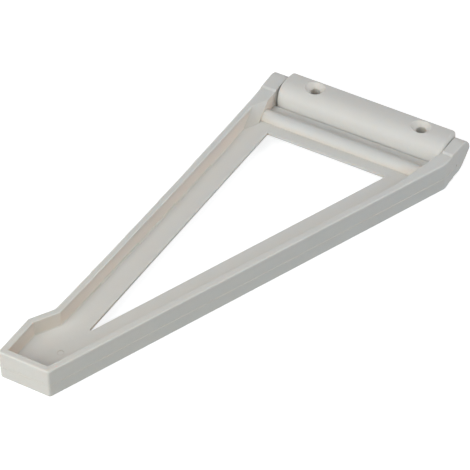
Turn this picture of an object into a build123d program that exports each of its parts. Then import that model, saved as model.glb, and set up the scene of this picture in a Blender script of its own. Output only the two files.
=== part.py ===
from build123d import *
import os

# Swing-out bracket for a drop leaf, folded flat against the wall, in millimetres.
# X runs along the hinge, the arm reaches out towards -Y, and the wall is the plane Z = 0.
# The origin is midway between the two screw holes, on the mounting face.

# Hinge block
block_length = 86.6
block_front_radius = 7.5
block_depth_behind_pivot = 7.45
block_top_fall = 0.9
block_end_round = 1.8
pivot_height = 9.9
pivot_to_screws = 2.25

# Screw holes
screw_spacing = 55.5
screw_bore = 4.7
screw_head = 10.0

# Pivot pins
pin_diameter = 4.5
pin_in_block = 8.0
pin_in_ear = 4.5
pin_chamfer = 0.4
pin_running_clearance = 0.05
pin_end_clearance = 0.3

# Ears
ear_gap = 0.45
arm_ear_thickness = 7.3
brace_ear_thickness = 4.95
ear_flare = 1.0
ear_step = 0.6
ear_ramp = 1.2
ear_length_before_pivot = 6.35
ear_lift = 1.6
ear_lift_slope = 4.0
ear_heel = 0.4
ear_heel_round = 8.5
ear_nose = 8.65
ear_nose_drop = 0.7
ear_nose_round = 1.2
ear_crown = 2.15

# Frame section
frame_height = 15.0
wall = 3.3
web = 1.4
tray_depth = 7.7
edge_round = 0.8
floor_round = 0.8
lip_round = 0.5
seam_height = 0.12
seam_width = 0.4

# Frame outline
reach = 213.0
toe_width = 25.65
toe_step_out = 6.6
toe_pad_length = 23.45
toe_step_length = 10.8
arm_lean = 1.1
arm_bow = 0.67
flare_start = 15.35
brace_bend = 13.55
bend_round = 4.0
corner_round = 1.5

# Web opening and cross bar
arm_width = 14.25
brace_width = 17.0
brace_width_at_toe = 16.4
crossbar_front = 26.05
opening_round = 0.6
bar_radius = 4.0
bar_before_pivot = 16.55
block_sweep_gap = 0.4

# Thickened roots that carry the ears
arm_root_foot = 30.05
arm_root_facing = (0.75, -0.42, 0.51)
brace_root_length = 59.85
brace_root_end = 4.35

# Marks left by the tool
ejector_mark = 2.8
ejector_from_toe = 19.05
ejector_from_left = 18.95
ejector_depth = 0.15
gate_mark = 0.9
gate_before_pivot = 3.4
gate_height = 6.95
gate_depth = 0.3

# Places worked out from the driving dimensions
pivot_y = -pivot_to_screws
block_top = pivot_height + block_front_radius
block_front = pivot_y - block_front_radius
block_back = pivot_y + block_depth_behind_pivot
ear_inner = block_length / 2 + ear_gap
arm_outer = ear_inner + arm_ear_thickness
arm_inner = arm_outer - wall
brace_outer = ear_inner + brace_ear_thickness
ear_front = pivot_y - ear_length_before_pivot
ear_back = pivot_y + ear_nose
ear_top = frame_height + ear_step
web_top = frame_height - tray_depth
web_middle = web_top - web / 2
web_bottom = web_top - web
toe_front = pivot_y - reach
toe_left = -arm_outer - arm_lean - toe_step_out
toe_right = toe_left + toe_width
bend = Vector(brace_outer, pivot_y - brace_bend)
toe_corner = Vector(toe_right, toe_front)
brace_along = (bend - toe_corner).normalized()
brace_inward = Vector(-brace_along.Y, brace_along.X)


def flared(side, y):
    """X at y of an ear's outer face, which runs out towards the back; side is -1 or 1."""
    share = (y - (pivot_y - flare_start)) / (ear_back - pivot_y + flare_start)
    return side * ((arm_outer if side < 0 else brace_outer) + ear_flare * share)


def brace_line(depth, y):
    """Point at y on the line that lies depth inside the brace's outer face."""
    start = toe_corner + brace_inward * depth
    return start + brace_along * ((y - start.Y) / brace_along.Y)


def round_corners(face, points, radius):
    """Rounds the corners of a face that lie nearest to the given points."""
    corners = [min(face.vertices(), key=lambda v, p=p: (Vector(v) - Vector(*p)).length) for p in points]
    return fillet(corners, radius)


def frame_outline():
    """Plan of the arm, toe and brace, up to the front of the ears."""
    flare_corner = (-arm_outer, pivot_y - flare_start)
    step_corner = (-arm_outer - arm_lean, toe_front + toe_pad_length + toe_step_length)
    pad_corner = (toe_left, toe_front + toe_pad_length)
    arm_face = SagittaArc(flare_corner, step_corner, arm_bow)
    others = Polyline(
        step_corner,
        pad_corner,
        (toe_left, toe_front),
        (toe_right, toe_front),
        (bend.X, bend.Y),
        (flared(1, ear_front), ear_front),
        (flared(-1, ear_front), ear_front),
        flare_corner,
    )
    return make_face([arm_face, others])


def arm_root(up):
    """Corner that thickens the arm at its ear, cut off by a slanting face; up is 1 above the web, -1 below."""
    height = frame_height - web_middle if up > 0 else web_middle
    fit = (Align.MAX, Align.MAX, Align.MIN if up > 0 else Align.MAX)
    corner = Box(arm_ear_thickness - wall / 2, arm_root_foot, height, align=fit)
    corner = Pos(-ear_inner, ear_front, web_middle) * corner
    across, along, rise = arm_root_facing
    foot = (-arm_inner, pivot_y - arm_root_foot, web_top if up > 0 else web_bottom)
    return split(corner, bisect_by=Plane(foot, z_dir=(across, along, up * rise)), keep=Keep.BOTTOM)


def brace_root_plan():
    """Plan of the thickened root of the brace."""
    start = brace_line(0, pivot_y - brace_root_length)
    return make_face(
        Polyline(
            (start.X, start.Y),
            (ear_inner, pivot_y - brace_root_end),
            (ear_inner, pivot_y),
            (brace_outer, pivot_y),
            (brace_outer, bend.Y),
            close=True,
        )
    )


def tray_plan():
    """Area inside the rim wall, open towards the hinge block."""
    doorway = Polyline(
        (-arm_inner, pivot_y - bar_before_pivot),
        (ear_inner, pivot_y - bar_before_pivot),
        (ear_inner, pivot_y),
        (-arm_inner, pivot_y),
        close=True,
    )
    inside = offset(frame_outline(), -wall, kind=Kind.INTERSECTION)
    return inside + make_face(doorway) - brace_root_plan()


def tray(plan, depth):
    """Tray with rounded floor edges, its mouth at Z = 0 and its floor below."""
    hollow = extrude(plan, -depth)
    return fillet(hollow.faces().sort_by(Axis.Z)[0].edges(), floor_round)


def web_opening():
    """Three-cornered opening between the arm, the brace and the cross bar."""
    left = -arm_outer + arm_width
    back = pivot_y - crossbar_front
    far = brace_line(brace_width, back)
    near = brace_line(brace_width_at_toe, toe_front)
    tip = near + (far - near) * ((left - near.X) / (far.X - near.X))
    plan = make_face(Polyline((left, tip.Y), (far.X, back), (left, back), close=True))
    plan = fillet(plan.vertices(), opening_round)
    return Pos(0, 0, web_bottom - web) * extrude(plan, 3 * web)


def ear(side):
    """Round-ended ear that carries a pivot pin; side is -1 on the arm and 1 on the brace."""
    ramp_start = ear_front - ear_ramp
    plan = make_face(
        Polyline(
            (side * ear_inner, ramp_start),
            (flared(side, ramp_start), ramp_start),
            (flared(side, ear_back), ear_back),
            (side * ear_inner, ear_back),
            close=True,
        )
    )
    heel = (pivot_y + ear_heel, ear_lift)
    nose = (ear_back, pivot_height - ear_nose_drop)
    crown = (pivot_y + ear_crown, ear_top)
    lower = Polyline(
        crown,
        (ear_front, ear_top),
        (ramp_start, frame_height),
        (ramp_start, ear_lift),
        heel,
        nose,
    )
    profile = make_face([lower, TangentArc(crown, nose, tangent=(1, 0))])
    profile = round_corners(profile, [heel], ear_heel_round)
    profile = round_corners(profile, [nose], ear_nose_round)
    side_view = extrude(Plane.YZ * profile, block_length, both=True)
    body = extrude(plan, 2 * frame_height) & side_view
    outer_face = body.faces().sort_by(Axis.X)[0 if side < 0 else -1]
    rim = [edge for edge in outer_face.edges() if edge.center().Y > ear_front + edge_round]
    return fillet(rim, edge_round)


def pin_socket(side):
    """Blind hole in an ear for the pin's outer end."""
    radius = pin_diameter / 2 + pin_running_clearance
    depth = pin_in_ear + pin_end_clearance
    inner_end = side * (ear_inner + depth / 2)
    return Pos(inner_end, pivot_y, pivot_height) * Rot(Y=90) * Cylinder(radius, depth)


def ear_relief():
    """Room under the ears, which lie a little above the wall."""
    slope_end = bend.Y + ear_lift_slope
    profile = Polyline(
        (bend.Y, 0),
        (slope_end, ear_lift),
        (pivot_y, ear_lift),
        (pivot_y, -ear_lift),
        (bend.Y, -ear_lift),
        close=True,
    )
    return extrude(Plane.YZ * make_face(profile), block_length, both=True)


def tool_marks():
    """Round mark of an ejector on the toe's floor and the gate's dimple on the brace's ear."""
    ejector = Cylinder(ejector_mark / 2, 2 * ejector_depth)
    gate = Cylinder(gate_mark / 2, 2 * gate_depth)
    gate_y = pivot_y - gate_before_pivot
    ejector = Pos(toe_left + ejector_from_left, toe_front + ejector_from_toe, web_top) * ejector
    return ejector + Pos(flared(1, gate_y), gate_y, gate_height) * Rot(Y=90) * gate


def swing_frame():
    """One moulding: rim wall, web, cross bar and the two ears."""
    outline = frame_outline()
    outline = round_corners(outline, [(toe_left, toe_front), (toe_right, toe_front)], corner_round)
    outline = round_corners(outline, [(bend.X, bend.Y)], bend_round)
    seam = extrude(offset(outline, seam_height), seam_width)
    body = extrude(outline, frame_height) + Pos(0, 0, web_middle - seam_width / 2) * seam
    faces = body.faces().sort_by(Axis.Z)
    rims = faces[0].edges() + faces[-1].edges()
    body = fillet([edge for edge in rims if edge.center().Y < ear_front], edge_round)
    plan = tray_plan()
    body -= Pos(0, 0, frame_height) * tray(plan, tray_depth)
    mouth = (Pos(0, 0, frame_height) * plan).face().outer_wire()
    inner_rim = [edge for edge in body.edges() if mouth.distance_to(edge.position_at(0.5)) < lip_round / 10]
    body = fillet([edge for edge in inner_rim if edge.center().Y < ear_front - wall], lip_round)
    body -= mirror(tray(plan, web_bottom), Plane.XY)
    body += arm_root(1)
    body += arm_root(-1)
    body -= ear_relief()
    body -= web_opening()
    slot_front = block_front - block_sweep_gap
    slot = Box(2 * ear_inner, reach, 2 * frame_height, align=(Align.CENTER, Align.MIN, Align.CENTER))
    body -= Pos(0, slot_front, frame_height / 2) * slot
    bar = Cylinder(bar_radius, 2 * ear_inner)
    body += Pos(0, pivot_y - bar_before_pivot, web_middle) * Rot(Y=90) * bar
    for side in (-1, 1):
        body += ear(side)
        body -= pin_socket(side)
    return body - tool_marks()


def screw_hole(x):
    """Bore and countersink for one screw, with the head's rim level with the block's top."""
    sink = (screw_head - screw_bore) / 2
    bore = Cylinder(screw_bore / 2, 3 * block_top)
    cone = Cone(screw_bore / 2, screw_head / 2, sink, align=(Align.CENTER, Align.CENTER, Align.MAX))
    return Pos(x, 0, block_top) * (bore + cone)


def hinge_block():
    """D-shaped bar that is screwed to the wall, round about the pivot in front."""
    back_top = (block_back, block_top - block_top_fall)
    outline = [
        Polyline((block_back, 0), (block_front, 0), (block_front, pivot_height)),
        CenterArc((pivot_y, pivot_height), block_front_radius, 90, 90),
        TangentArc((pivot_y, block_top), back_top, tangent=(1, 0)),
        Line(back_top, (block_back, 0)),
    ]
    body = extrude(Plane.YZ * make_face(outline), block_length / 2, both=True)
    ends = body.faces().sort_by(Axis.X)
    rims = [edge for edge in ends[0].edges() + ends[-1].edges() if edge.center().Z > block_top_fall]
    body = fillet(rims, block_end_round)
    for side in (-1, 1):
        body -= screw_hole(side * screw_spacing / 2)
        bore = Cylinder(pin_diameter / 2, pin_in_block)
        middle = side * (block_length / 2 - pin_in_block / 2)
        body -= Pos(middle, pivot_y, pivot_height) * Rot(Y=90) * bore
    return body


def pivot_pin(side):
    """Short steel pin, tight in the block and free to turn in the ear."""
    length = pin_in_block + ear_gap + pin_in_ear
    middle = side * (block_length / 2 - pin_in_block + length / 2)
    pin = Cylinder(pin_diameter / 2, length)
    pin = chamfer(pin.edges().filter_by(GeomType.CIRCLE), pin_chamfer)
    return Pos(middle, pivot_y, pivot_height) * Rot(Y=90) * pin


parts = {
    "swing_frame": swing_frame(),
    "hinge_block": hinge_block(),
    "left_pivot_pin": pivot_pin(-1),
    "right_pivot_pin": pivot_pin(1),
}
os.makedirs("parts", exist_ok=True)
for name, solid in parts.items():
    solid.label = name
    export_step(solid, f"parts/{name}.step")
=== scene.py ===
# %% [markdown]
# # A swing-out leaf bracket
# The bracket is two pale mouldings on a hidden pivot. A short round-fronted block is screwed to a wall,
# and a long open frame swings on it to carry the end of a table leaf or shelf.
# The shapes come from the solid model, which is exact. So this lesson is about the rest of a good
# picture: the lens, the paper sweep, the lamps, and a plastic that looks moulded and not painted.

# %% Load the solids
import math

import bpy
from mathutils import Matrix, Vector


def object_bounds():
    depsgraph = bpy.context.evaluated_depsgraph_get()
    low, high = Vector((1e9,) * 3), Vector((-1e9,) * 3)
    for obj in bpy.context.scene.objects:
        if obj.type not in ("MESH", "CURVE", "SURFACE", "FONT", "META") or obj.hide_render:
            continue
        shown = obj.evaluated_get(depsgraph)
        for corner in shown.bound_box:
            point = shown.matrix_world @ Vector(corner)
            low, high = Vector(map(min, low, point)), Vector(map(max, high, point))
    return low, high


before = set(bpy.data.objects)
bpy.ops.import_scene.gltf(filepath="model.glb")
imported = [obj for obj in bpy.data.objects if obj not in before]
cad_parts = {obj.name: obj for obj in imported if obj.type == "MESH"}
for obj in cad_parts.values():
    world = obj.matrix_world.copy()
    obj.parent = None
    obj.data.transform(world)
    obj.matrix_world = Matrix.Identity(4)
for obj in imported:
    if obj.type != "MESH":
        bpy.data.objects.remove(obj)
cad_low, cad_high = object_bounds()
print("solids:", sorted(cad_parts))
print("size in millimetres:", [round(1000 * side, 1) for side in cad_high - cad_low])

# %% [markdown]
# ## The lens
# A catalogue photograph of a flat thing is taken from well back with a long lens, so that its far end
# doesn't shrink. Blender could aim a camera with a constraint, but then its roll would be out of hand.
# So the camera is built from the directions that the picture's edges gave: first the line back from the
# thing to the lens, then the picture's own right and down.
# A small roll is left in, because the picture is not quite level.

# %% Direction of the lens
MM = 0.001
camera_azimuth = math.radians(32.40)
camera_elevation = math.radians(42.22)
camera_roll = math.radians(1.895)

camera_back = Vector(
    (
        math.sin(camera_azimuth) * math.cos(camera_elevation),
        -math.cos(camera_azimuth) * math.cos(camera_elevation),
        math.sin(camera_elevation),
    )
)
level_right = (-camera_back).cross(Vector((0, 0, 1))).normalized()
level_down = (-camera_back).cross(level_right)
picture_right = level_right * math.cos(camera_roll) + level_down * math.sin(camera_roll)
picture_down = level_down * math.cos(camera_roll) - level_right * math.sin(camera_roll)
print("towards the lens:", [round(part, 3) for part in camera_back])

# %% Camera
picture_pixels = 470
sensor_width = 36.0
focal_pixels = 3269.6
camera_distance = 1458.5 * MM
camera_target = Vector((-17.98, -88.70, 0.0)) * MM

camera_data = bpy.data.cameras.new("catalogue_lens")
camera_data.sensor_fit = "HORIZONTAL"
camera_data.sensor_width = sensor_width
camera_data.lens = focal_pixels / picture_pixels * sensor_width
camera_data.clip_start = 0.05
camera_data.clip_end = 20.0
camera = bpy.data.objects.new("catalogue_camera", camera_data)
turn = Matrix((picture_right, -picture_down, camera_back)).transposed().to_4x4()
camera.matrix_world = Matrix.Translation(camera_target + camera_back * camera_distance) @ turn
bpy.context.scene.collection.objects.link(camera)
bpy.context.scene.camera = camera
print("lens:", round(camera_data.lens, 1), "mm")

# %% [markdown]
# ## Small helpers for shader trees
# Every finish below is a tree of nodes. Three helpers keep those trees short to read: one adds a node
# and fills in its settings and sockets, one joins an output to an input, and one clears a new tree.

# %% Node helpers


def add_node(tree, kind, settings=None, **sockets):
    """Adds a node; settings are its own properties, sockets its inputs with spaces written as _."""
    node = tree.nodes.new(kind)
    for name, value in (settings or {}).items():
        setattr(node, name, value)
    for name, value in sockets.items():
        node.inputs[name.replace("_", " ")].default_value = value
    return node


def join(tree, output, target):
    """Joins an output socket to an input socket."""
    tree.links.new(output, target)


def empty_tree(owner):
    """Turns on an owner's node tree and clears it."""
    owner.use_nodes = True
    owner.node_tree.nodes.clear()
    return owner.node_tree


# %% [markdown]
# ## Paper sweep and room
# The bracket was pictured on white. A white wall that lights the thing would wash it out, so the room
# gives a plain soft level to the surfaces, and only what the lens sees of it is pure white.
# Light Path tells the two apart. The paper does the same: it is a real matt sheet that takes the
# bracket's shadow, with a glow that only the lens sees.

# %% Room
white = (1.0, 1.0, 1.0, 1.0)
room_level = 0.12
room_colour = (0.88, 0.95, 1.0, 1.0)


def seen_rays(tree):
    """Output that is 1 for rays from the lens, off shine or through glass, and 0 for lighting."""
    rays = add_node(tree, "ShaderNodeLightPath")
    lens_or_shine = add_node(tree, "ShaderNodeMath", {"operation": "MAXIMUM"})
    any_seen = add_node(tree, "ShaderNodeMath", {"operation": "MAXIMUM"})
    join(tree, rays.outputs["Is Camera Ray"], lens_or_shine.inputs[0])
    join(tree, rays.outputs["Is Glossy Ray"], lens_or_shine.inputs[1])
    join(tree, lens_or_shine.outputs[0], any_seen.inputs[0])
    join(tree, rays.outputs["Is Transmission Ray"], any_seen.inputs[1])
    return any_seen.outputs[0]


world = bpy.data.worlds.new("studio_room")
bpy.context.scene.world = world
room = empty_tree(world)
room_out = add_node(room, "ShaderNodeOutputWorld")
seen_room = add_node(room, "ShaderNodeBackground", Color=white, Strength=1.0)
lit_room = add_node(room, "ShaderNodeBackground", Color=room_colour, Strength=room_level)
room_mix = add_node(room, "ShaderNodeMixShader")
join(room, seen_rays(room), room_mix.inputs[0])
join(room, lit_room.outputs[0], room_mix.inputs[1])
join(room, seen_room.outputs[0], room_mix.inputs[2])
join(room, room_mix.outputs[0], room_out.inputs[0])
print("room level:", room_level)

# %% Paper
paper_colour = (0.45, 0.45, 0.45, 1.0)
paper_glow = 0.82

paper_material = bpy.data.materials.new("white_paper")
paper_tree = empty_tree(paper_material)
paper_out = add_node(paper_tree, "ShaderNodeOutputMaterial")
paper_matt = add_node(paper_tree, "ShaderNodeBsdfDiffuse", Color=paper_colour)
paper_shine = add_node(paper_tree, "ShaderNodeEmission", Color=white)
paper_seen = add_node(paper_tree, "ShaderNodeMath", {"operation": "MULTIPLY"})
paper_seen.inputs[1].default_value = paper_glow
paper_sum = add_node(paper_tree, "ShaderNodeAddShader")
join(paper_tree, seen_rays(paper_tree), paper_seen.inputs[0])
join(paper_tree, paper_seen.outputs[0], paper_shine.inputs["Strength"])
join(paper_tree, paper_matt.outputs[0], paper_sum.inputs[0])
join(paper_tree, paper_shine.outputs[0], paper_sum.inputs[1])
join(paper_tree, paper_sum.outputs[0], paper_out.inputs[0])
print("paper:", paper_material.name)

# %% Paper sheet
paper_half = 2.0
paper_drop = 0.1 * MM
paper_level = cad_low.z - paper_drop
paper_ways = ((-1, -1), (1, -1), (1, 1), (-1, 1))
paper_corners = [(x * paper_half, y * paper_half, paper_level) for x, y in paper_ways]

paper_mesh = bpy.data.meshes.new("paper_sheet")
paper_mesh.from_pydata(paper_corners, [], [(0, 1, 2, 3)])
paper_mesh.materials.append(paper_material)
paper = bpy.data.objects.new("paper_sheet", paper_mesh)
bpy.context.scene.collection.objects.link(paper)
print("paper at", round(1000 * paper_level, 2), "mm")

# %% [markdown]
# ## Lamps
# In the picture every face that looks forward is bright: the toe's end, the cross rib and the front of
# the hinge block. Tops come next, and the brace's outer side is the darkest and the coolest. One lamp
# overhead would make the tops the brightest, so a slightly warm main lamp stands low in front, a little
# to the left, and a cool one of half its power beside it on the right. A broad lamp hangs overhead, and
# one behind on the right reaches the inside of the long arm.
# The last one stands low behind on the left. It hardly touches the tops, but keeps the back from going
# grey when the frame is swung out. All five are large, which keeps every shadow soft.

# %% Lamps
lamp_distance = 1.6
lamp_width = 0.9
broad_lamp_width = 1.2
white_light = (1.0, 1.0, 1.0)
warm_light = (1.0, 0.97, 0.945)
cool_light = (0.80, 0.975, 1.0)


def soft_lamp(name, direction, power, colour, width=lamp_width):
    """Square area lamp that looks at the middle of the bracket from a direction."""
    lamp = bpy.data.lights.new(name, "AREA")
    lamp.shape = "SQUARE"
    lamp.size = width
    lamp.energy = power
    lamp.color = colour
    aim = Vector(direction).normalized()
    holder = bpy.data.objects.new(name, lamp)
    holder.location = (cad_low + cad_high) / 2 + aim * lamp_distance
    holder.rotation_mode = "QUATERNION"
    holder.rotation_quaternion = aim.to_track_quat("Z", "Y")
    bpy.context.scene.collection.objects.link(holder)
    print(name, "of", power, "watts")


soft_lamp("main_lamp", (-0.28, -0.84, 0.40), 14.0, warm_light)
soft_lamp("front_lamp", (0.25, -0.85, 0.50), 6.5, cool_light)
soft_lamp("top_lamp", (-0.10, -0.42, 0.90), 7.5, white_light, broad_lamp_width)
soft_lamp("side_lamp", (0.74, 0.56, 0.48), 9.6, white_light)
soft_lamp("back_lamp", (-0.70, 0.70, 0.0), 5.5, white_light)

# %% [markdown]
# ## What moulded plastic shows
# A moulding is never one flat colour. Streaks, rubbed edges and tool marks all show a little, and a
# drift of tone and warm hollows are painted in as light and shade. They could be wired straight into
# each material, but both plastics need them, so each effect is a small group, built once, that a finish
# uses with its own values.

# %% Group helper


def new_group(name, inputs, outputs):
    """Shader group; inputs are (kind, name, value) rows and outputs are (kind, name) rows."""
    group = bpy.data.node_groups.new(name, "ShaderNodeTree")
    for kind, label, value in inputs:
        socket = group.interface.new_socket(label, in_out="INPUT", socket_type=kind)
        if value is not None:
            socket.default_value = value
    for kind, label in outputs:
        group.interface.new_socket(label, in_out="OUTPUT", socket_type=kind)
    print("group:", group.name)
    return group, group.nodes.new("NodeGroupInput"), group.nodes.new("NodeGroupOutput")


# %% [markdown]
# ### Melt flow and tool grain
# The melt cools in streaks a few centimetres long with a finer mottle in them, and the tool leaves a
# grain that scatters the shine. A picture of plastic could be wrapped round the part, but it would show
# seams. Noise that fills the space has none, and cuts every face alike.

# %% Group for melt flow and tool grain
skin, skin_in, skin_out = new_group(
    "skin_noise",
    [
        ("NodeSocketVector", "Place", None),
        ("NodeSocketFloat", "Flow Scale", 40.0),
        ("NodeSocketFloat", "Mottle Scale", 400.0),
        ("NodeSocketFloat", "Grain Scale", 3500.0),
    ],
    [("NodeSocketFloat", "Flow"), ("NodeSocketFloat", "Mottle"), ("NodeSocketFloat", "Grain")],
)
flow_noise = add_node(skin, "ShaderNodeTexNoise", Detail=3.0, Roughness=0.5, Distortion=0.6)
flow_range = add_node(skin, "ShaderNodeMapRange", From_Min=0.3, From_Max=0.7)
mottle_noise = add_node(skin, "ShaderNodeTexNoise", Detail=2.0, Roughness=0.5)
mottle_range = add_node(skin, "ShaderNodeMapRange", From_Min=0.35, From_Max=0.65)
grain_noise = add_node(skin, "ShaderNodeTexNoise", Detail=2.0, Roughness=0.6)
for noise, scale in (
    (flow_noise, "Flow Scale"),
    (mottle_noise, "Mottle Scale"),
    (grain_noise, "Grain Scale"),
):
    join(skin, skin_in.outputs["Place"], noise.inputs["Vector"])
    join(skin, skin_in.outputs[scale], noise.inputs["Scale"])
join(skin, flow_noise.outputs[0], flow_range.inputs["Value"])
join(skin, flow_range.outputs[0], skin_out.inputs["Flow"])
join(skin, mottle_noise.outputs[0], mottle_range.inputs["Value"])
join(skin, mottle_range.outputs[0], skin_out.inputs["Mottle"])
join(skin, grain_noise.outputs[0], skin_out.inputs["Grain"])

# %% [markdown]
# ### Drift of the tone
# From one end of a part to the other, the tone drifts. On the frame it is painted light, warm at the toe
# and cool at the hinge end. A gradient texture would do it, but a dot product with a direction gives the
# place along the part in metres, so the drift starts and ends where the part does.

# %% Group for the drift of the tone
drift, drift_in, drift_out = new_group(
    "tone_drift_along",
    [
        ("NodeSocketVector", "Place", None),
        ("NodeSocketVector", "Along", (0.0, 1.0, 0.0)),
        ("NodeSocketFloat", "Start", -0.2),
        ("NodeSocketFloat", "End", 0.0),
    ],
    [("NodeSocketFloat", "Drift")],
)
way = add_node(drift, "ShaderNodeVectorMath", {"operation": "DOT_PRODUCT"})
way_range = add_node(drift, "ShaderNodeMapRange", {"interpolation_type": "SMOOTHSTEP"})
join(drift, drift_in.outputs["Place"], way.inputs[0])
join(drift, drift_in.outputs["Along"], way.inputs[1])
join(drift, way.outputs["Value"], way_range.inputs["Value"])
join(drift, drift_in.outputs["Start"], way_range.inputs["From Min"])
join(drift, drift_in.outputs["End"], way_range.inputs["From Max"])
join(drift, way_range.outputs[0], drift_out.inputs["Drift"])

# %% [markdown]
# ### Hollows, their walls and floors: painted light and shade
# In the frame's trays the light goes to and fro between the faces, so hollows look warmer, their side
# walls warmer still, and their floors a little paler. This bounce light and the shade of the hollows are
# painted into the colour. Painting each face by hand would break with the next change of shape. Ambient
# Occlusion finds what is sheltered instead, and the face's own normal tells a wall from a floor. It is
# read in the part's own space, so the painted light and shade hold when the frame swings.

# %% Group for hollows
hollow, hollow_in, hollow_out = new_group(
    "hollows",
    [
        ("NodeSocketFloat", "Reach", 0.012),
        ("NodeSocketFloat", "Open", 0.95),
        ("NodeSocketFloat", "Closed", 0.78),
    ],
    [
        ("NodeSocketFloat", "Hollow"),
        ("NodeSocketFloat", "Side Wall"),
        ("NodeSocketFloat", "Floor"),
    ],
)
shelter = add_node(hollow, "ShaderNodeAmbientOcclusion", {"samples": 8, "only_local": True})
shelter_range = add_node(hollow, "ShaderNodeMapRange")
join(hollow, hollow_in.outputs["Reach"], shelter.inputs["Distance"])
join(hollow, shelter.outputs["AO"], shelter_range.inputs["Value"])
join(hollow, hollow_in.outputs["Open"], shelter_range.inputs["From Min"])
join(hollow, hollow_in.outputs["Closed"], shelter_range.inputs["From Max"])
join(hollow, shelter_range.outputs[0], hollow_out.inputs["Hollow"])

# %% Walls and floors in the group for hollows
# Masks for painted light: bounce light on sheltered side walls, and a paler tone on sheltered floors.
wall_facing = (0.70, 0.97)
floor_facing = (0.85, 0.98)
facing = add_node(hollow, "ShaderNodeTexCoord")
facing_parts = add_node(hollow, "ShaderNodeSeparateXYZ")
join(hollow, facing.outputs["Normal"], facing_parts.inputs[0])


def sheltered_faces(axis, low, high, label):
    """Puts out a mask of the sheltered faces that look along an axis, either way."""
    turned = add_node(hollow, "ShaderNodeMath", {"operation": "ABSOLUTE"})
    turned_range = add_node(
        hollow,
        "ShaderNodeMapRange",
        {"interpolation_type": "SMOOTHSTEP"},
        From_Min=low,
        From_Max=high,
    )
    mask = add_node(hollow, "ShaderNodeMath", {"operation": "MULTIPLY"})
    join(hollow, facing_parts.outputs[axis], turned.inputs[0])
    join(hollow, turned.outputs[0], turned_range.inputs["Value"])
    join(hollow, shelter_range.outputs[0], mask.inputs[0])
    join(hollow, turned_range.outputs[0], mask.inputs[1])
    join(hollow, mask.outputs[0], hollow_out.inputs[label])
    print("mask:", label)


sheltered_faces("X", *wall_facing, "Side Wall")
sheltered_faces("Z", *floor_facing, "Floor")

# %% [markdown]
# ### Handled edges
# Hands rub the corners first. The mesh could carry painted edges, but the Bevel node needs no painting:
# it gives the normal that a rounded corner would have, and where that parts from the true one, there is
# an edge.

# %% Group for handled edges
rub, rub_in, rub_out = new_group(
    "handled_edges",
    [("NodeSocketFloat", "Width", 0.0006)],
    [("NodeSocketFloat", "Edge")],
)
round_off = add_node(rub, "ShaderNodeBevel", {"samples": 4})
true_normal = add_node(rub, "ShaderNodeNewGeometry")
agreement = add_node(rub, "ShaderNodeVectorMath", {"operation": "DOT_PRODUCT"})
edge_range = add_node(rub, "ShaderNodeMapRange", From_Min=0.98, From_Max=0.75)
join(rub, rub_in.outputs["Width"], round_off.inputs["Radius"])
join(rub, round_off.outputs[0], agreement.inputs[0])
join(rub, true_normal.outputs["Normal"], agreement.inputs[1])
join(rub, agreement.outputs["Value"], edge_range.inputs["Value"])
join(rub, edge_range.outputs[0], rub_out.inputs["Edge"])

# %% [markdown]
# ### Ejector mark
# A pin pushes a moulding out of its tool and leaves a shallow round mark. The frame's solid has the one
# in the toe, but its step is so low that light alone hardly shows it. So a ring of painted shade is
# drawn along its rim, as far from a centre as the mark is wide.

# %% Group for the ring that an ejector pin leaves
ring, ring_in, ring_out = new_group(
    "ejector_ring",
    [
        ("NodeSocketVector", "Place", None),
        ("NodeSocketVector", "Centre", (0.0, 0.0, 0.0)),
        ("NodeSocketFloat", "Radius", 0.0014),
        ("NodeSocketFloat", "Width", 0.0004),
    ],
    [("NodeSocketFloat", "Ring")],
)
from_centre = add_node(ring, "ShaderNodeVectorMath", {"operation": "DISTANCE"})
from_rim = add_node(ring, "ShaderNodeMath", {"operation": "SUBTRACT"})
rim_distance = add_node(ring, "ShaderNodeMath", {"operation": "ABSOLUTE"})
ring_range = add_node(ring, "ShaderNodeMapRange", To_Min=1.0, To_Max=0.0)
join(ring, ring_in.outputs["Place"], from_centre.inputs[0])
join(ring, ring_in.outputs["Centre"], from_centre.inputs[1])
join(ring, from_centre.outputs["Value"], from_rim.inputs[0])
join(ring, ring_in.outputs["Radius"], from_rim.inputs[1])
join(ring, from_rim.outputs[0], rim_distance.inputs[0])
join(ring, rim_distance.outputs[0], ring_range.inputs["Value"])
join(ring, ring_in.outputs["Width"], ring_range.inputs["From Max"])
join(ring, ring_range.outputs[0], ring_out.inputs["Ring"])

# %% [markdown]
# ## The two plastics
# Frame and block are the same kind of plastic from different tools. The frame runs from a creamy toe to
# a cooler hinge end, which is painted light, and the block is a touch warmer and cleaner. One colour
# ramp could hold all that, but then the parts couldn't be set one by one. So the colour is laid in
# turns, each
# by its own mask: drift, streaks, a fine mottle, painted shade and bounce light in the hollows, on their
# walls and floors, painted shade in tight creases, rubbed edges, and last a ring of painted shade round
# the ejector's mark.

# %% Colour in layers
layer_strength = {
    "streak": 0.5,
    "mottle": 0.35,
    "hollow": 0.9,
    "wall": 0.9,
    "floor": 0.9,
    "crease_shade": 0.35,
    "rubbed": 0.5,
    "ejector": 0.3,
}


def drifting_tone(tree, drifting, start, end):
    """Colour that goes from a start tone to an end tone as a drift rises."""
    tone = add_node(tree, "ShaderNodeMix", {"data_type": "RGBA"})
    tone.inputs["A"].default_value = start
    tone.inputs["B"].default_value = end
    join(tree, drifting, tone.inputs["Factor"])
    return tone.outputs["Result"]


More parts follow.
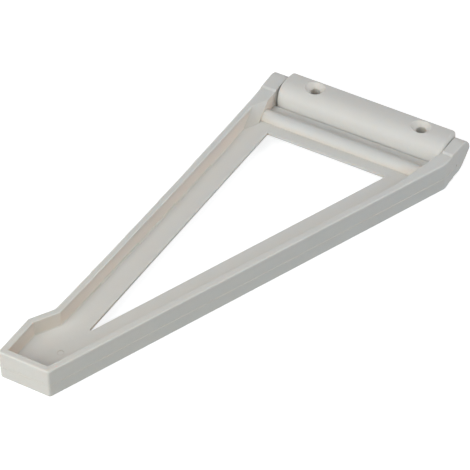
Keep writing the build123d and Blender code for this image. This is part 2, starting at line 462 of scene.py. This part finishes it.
def lay_over(tree, colour, mask, strength, tone):
    """Lays a tone, which is a fixed colour or an output, over a colour where a mask shows it."""
    share = add_node(tree, "ShaderNodeMath", {"operation": "MULTIPLY"})
    share.inputs[1].default_value = strength
    layer = add_node(tree, "ShaderNodeMix", {"data_type": "RGBA"})
    join(tree, mask, share.inputs[0])
    join(tree, share.outputs[0], layer.inputs["Factor"])
    join(tree, colour, layer.inputs["A"])
    if isinstance(tone, tuple):
        layer.inputs["B"].default_value = tone
    else:
        join(tree, tone, layer.inputs["B"])
    return layer.outputs["Result"]


# %% [markdown]
# ### Satin surface
# Both plastics are satin: the roughness wanders with the melt flow, and the grain goes to a very shallow
# bump. Light goes a millimetre or two into pale plastic before it comes out again, red the furthest. A
# plain diffuse colour would look like paint, so half of the shading is scattered below the surface, and
# thin walls and edges look soft and a little warm.

# %% Moulded plastic
satin_specular = 0.4
scatter_share = 0.5
scatter_colour = (1.0, 0.75, 0.6)
scatter_reach = 1.6 * MM
# Reach and levels of the mask for painted shade in tight creases.
crease_reach = 2.0 * MM
crease_open = 0.8
crease_closed = 0.35
grain_strength = 0.25
grain_depth = 0.02 * MM


def use_group(tree, group, **sockets):
    """Places a group in a tree with its own values."""
    return add_node(tree, "ShaderNodeGroup", {"node_tree": group}, **sockets)


def moulded_plastic(name, tones, along, run, wall_run, flow_scale, rough, ejector):
    """Satin plastic; runs are where tones drift along a direction, rough its smooth and dull ends."""
    material = bpy.data.materials.new(name)
    tree = empty_tree(material)
    out = add_node(tree, "ShaderNodeOutputMaterial")
    shader = add_node(
        tree,
        "ShaderNodeBsdfPrincipled",
        Specular_IOR_Level=satin_specular,
        Subsurface_Weight=scatter_share,
        Subsurface_Radius=scatter_colour,
        Subsurface_Scale=scatter_reach,
    )
    place = add_node(tree, "ShaderNodeTexCoord")
    surface = use_group(tree, skin, Flow_Scale=flow_scale)
    tone_drift = use_group(tree, drift, Along=along, Start=run[0], End=run[1])
    wall_bounce_drift = use_group(tree, drift, Along=along, Start=wall_run[0], End=wall_run[1])
    wide = use_group(tree, hollow)
    tight = use_group(tree, hollow, Reach=crease_reach, Open=crease_open, Closed=crease_closed)
    edges = use_group(tree, rub)
    mark = use_group(tree, ring, Centre=ejector)
    for group in (surface, tone_drift, wall_bounce_drift, mark):
        join(tree, place.outputs["Object"], group.inputs["Place"])

    colour = drifting_tone(tree, tone_drift.outputs["Drift"], tones["start"], tones["end"])
    wall_bounce_tone = drifting_tone(
        tree, wall_bounce_drift.outputs["Drift"], tones["wall_start"], tones["wall_end"]
    )
    # The hollow, wall, floor, crease and ejector layers lay painted light and shade.
    for layer, mask, tone in (
        ("streak", surface.outputs["Flow"], tones["streak"]),
        ("mottle", surface.outputs["Mottle"], tones["mottle"]),
        ("hollow", wide.outputs["Hollow"], tones["hollow"]),
        ("wall", wide.outputs["Side Wall"], wall_bounce_tone),
        ("floor", wide.outputs["Floor"], tones["floor"]),
        ("crease_shade", tight.outputs["Hollow"], tones["crease_shade"]),
        ("rubbed", edges.outputs["Edge"], tones["rubbed"]),
        ("ejector", mark.outputs["Ring"], tones["crease_shade"]),
    ):
        colour = lay_over(tree, colour, mask, layer_strength[layer], tone)
    join(tree, colour, shader.inputs["Base Color"])

    sheen = add_node(tree, "ShaderNodeMapRange", To_Min=rough[0], To_Max=rough[1])
    bump = add_node(tree, "ShaderNodeBump", Strength=grain_strength, Distance=grain_depth)
    join(tree, surface.outputs["Flow"], sheen.inputs["Value"])
    join(tree, sheen.outputs[0], shader.inputs["Roughness"])
    join(tree, surface.outputs["Grain"], bump.inputs["Height"])
    join(tree, bump.outputs[0], shader.inputs["Normal"])
    join(tree, shader.outputs[0], out.inputs[0])
    print("plastic:", material.name)
    return material


# %% [markdown]
# ### Frame and block
# The frame's tones run along it from the toe to the hinge, the block's across it from end to end. The
# painted bounce light on the walls of the toe is browner than on those of the arm, so the wall tone has
# a short run of its own, just behind the toe's step. The frame's rubbed corners are a little warm, the
# block's a little pale.

# %% Frame plastic
# Painted shade: a dark brown tone laid in tight creases and round the ejector mark.
painted_crease_shade = (0.420, 0.345, 0.275, 1)
frame_plastic = moulded_plastic(
    "satin_frame_plastic",
    tones={
        # Start and end tones are painted light: warm at the toe and cool at the hinge end.
        "start": (0.645, 0.619, 0.575, 1),
        "end": (0.640, 0.636, 0.626, 1),
        "streak": (0.615, 0.603, 0.578, 1),
        "mottle": (0.668, 0.640, 0.600, 1),
        # Hollow, wall and floor tones are painted shade and bounce light, not the plastic's own colour.
        "hollow": (0.617, 0.570, 0.510, 1),
        "wall_start": (0.730, 0.635, 0.550, 1),
        "wall_end": (0.840, 0.745, 0.668, 1),
        "floor": (0.704, 0.686, 0.656, 1),
        "crease_shade": painted_crease_shade,
        "rubbed": (0.640, 0.620, 0.580, 1),
    },
    along=(0, 1, 0),
    run=(-0.215, -0.02),
    wall_run=(-0.186, -0.150),
    flow_scale=45.0,
    rough=(0.46, 0.58),
    ejector=(-39.8 * MM, -196.2 * MM, 7.3 * MM),
)

# %% Block plastic
block_half = 0.043
# One paler tone for the block's hollows, walls and floors: painted bounce light.
block_hollow = (0.690, 0.655, 0.610, 1)
block_plastic = moulded_plastic(
    "satin_block_plastic",
    tones={
        "start": (0.652, 0.634, 0.606, 1),
        "end": (0.648, 0.634, 0.614, 1),
        "streak": (0.630, 0.612, 0.586, 1),
        "mottle": (0.675, 0.640, 0.596, 1),
        "hollow": block_hollow,
        "wall_start": block_hollow,
        "wall_end": block_hollow,
        "floor": block_hollow,
        "crease_shade": painted_crease_shade,
        "rubbed": (0.700, 0.688, 0.660, 1),
    },
    along=(1, 0, 0),
    run=(-block_half, block_half),
    wall_run=(-block_half, block_half),
    flow_scale=70.0,
    rough=(0.48, 0.60),
    ejector=(0.0, 0.0, 0.0),
)

# %% [markdown]
# ## The pins
# Two short ground steel pins carry the frame. They are hidden at rest, but an opened model shows them,
# so they get a ground finish of their own: fine rings round the pin. An anisotropic shine would also
# give that look, but it needs a direction on the mesh. A wave that runs along the pin needs none.

# %% Ground steel
pin_flow_scale = 250.0
ring_scale = 900.0
steel_rough = (0.22, 0.38)
ring_strength = 0.2
ring_depth = 0.01 * MM


def ground_steel(name, bright, dark):
    """Ground steel whose fine rings run round the pin."""
    material = bpy.data.materials.new(name)
    tree = empty_tree(material)
    out = add_node(tree, "ShaderNodeOutputMaterial")
    shader = add_node(tree, "ShaderNodeBsdfPrincipled", Metallic=1.0)
    place = add_node(tree, "ShaderNodeTexCoord")
    rings = add_node(
        tree,
        "ShaderNodeTexWave",
        {"bands_direction": "X"},
        Scale=ring_scale,
        Distortion=3.0,
        Detail=2.0,
    )
    surface = use_group(tree, skin, Flow_Scale=pin_flow_scale)
    colour = drifting_tone(tree, surface.outputs["Flow"], bright, dark)
    roughness = add_node(tree, "ShaderNodeMapRange", To_Min=steel_rough[0], To_Max=steel_rough[1])
    bump = add_node(tree, "ShaderNodeBump", Strength=ring_strength, Distance=ring_depth)
    join(tree, place.outputs["Object"], rings.inputs["Vector"])
    join(tree, place.outputs["Object"], surface.inputs["Place"])
    join(tree, colour, shader.inputs["Base Color"])
    join(tree, rings.outputs["Fac"], roughness.inputs["Value"])
    join(tree, roughness.outputs[0], shader.inputs["Roughness"])
    join(tree, rings.outputs["Fac"], bump.inputs["Height"])
    join(tree, bump.outputs[0], shader.inputs["Normal"])
    join(tree, shader.outputs[0], out.inputs[0])
    print("steel:", material.name)
    return material


pin_steel = ground_steel(
    "ground_pin_steel",
    bright=(0.58, 0.58, 0.59, 1),
    dark=(0.46, 0.46, 0.48, 1),
)

# %% [markdown]
# ## Dressing the solids
# The solids have the right shapes already, so no new mesh stands in for them. Each one keeps its mesh,
# and only the finish in its material slot changes.

# %% Put the finishes on the solids
finishes = {
    "swing_frame": frame_plastic,
    "hinge_block": block_plastic,
    "left_pivot_pin": pin_steel,
    "right_pivot_pin": pin_steel,
}
for node_name, finish in finishes.items():
    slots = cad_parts[node_name].data.materials
    slots.clear()
    slots.append(finish)
print("finishes:", {name: finish.name for name, finish in finishes.items()})

# %% [markdown]
# ## Finish
# The view transform is plain Standard, so a colour is rendered about as it is written.

# %% Finish
bpy.context.scene.view_settings.view_transform = "Standard"
